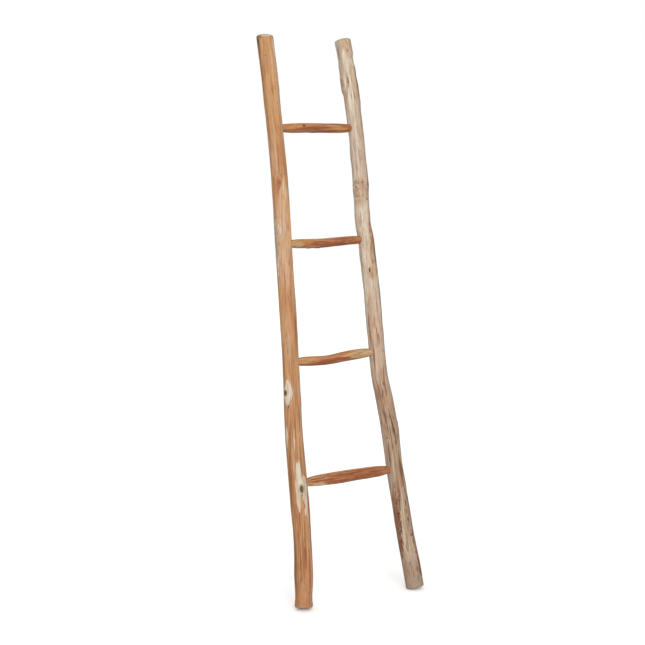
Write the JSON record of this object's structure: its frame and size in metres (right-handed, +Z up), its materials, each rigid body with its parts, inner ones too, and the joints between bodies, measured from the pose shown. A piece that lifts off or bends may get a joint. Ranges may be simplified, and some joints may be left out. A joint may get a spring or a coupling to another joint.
{
  "type": "decorative ladder",
  "caption": "Rustic leaning ladder of crooked peeled branches, with round tenoned rungs to hang towels, plants or lights on.",
  "frame": {"origin": "on the floor, under the middle of the ladder's box in its leaning pose", "axes": "+X along the rungs from the left stile to the right one, +Y back towards the wall, +Z up"},
  "size_m": [0.4117, 0.309, 1.5089],
  "materials": {
    "heartwood": "peeled and sanded orange-brown heartwood with pale sapwood islands",
    "weathered_wood": "peeled pale sapwood, slightly greyed, with reddish streaks",
    "rung_wood": "peeled and sanded orange-brown heartwood",
    "nail_steel": "plain bright steel wire nail"
  },
  "bodies": {
    "root": {"left_stile": "heartwood", "right_stile": "weathered_wood", "bottom_rung": "rung_wood", "lower_rung": "rung_wood", "upper_rung": "rung_wood", "top_rung": "rung_wood", "bottom_left_nail": "nail_steel", "bottom_right_nail": "nail_steel", "lower_left_nail": "nail_steel", "lower_right_nail": "nail_steel", "upper_left_nail": "nail_steel", "upper_right_nail": "nail_steel", "top_left_nail": "nail_steel", "top_right_nail": "nail_steel"}
  },
  "joints": []
}
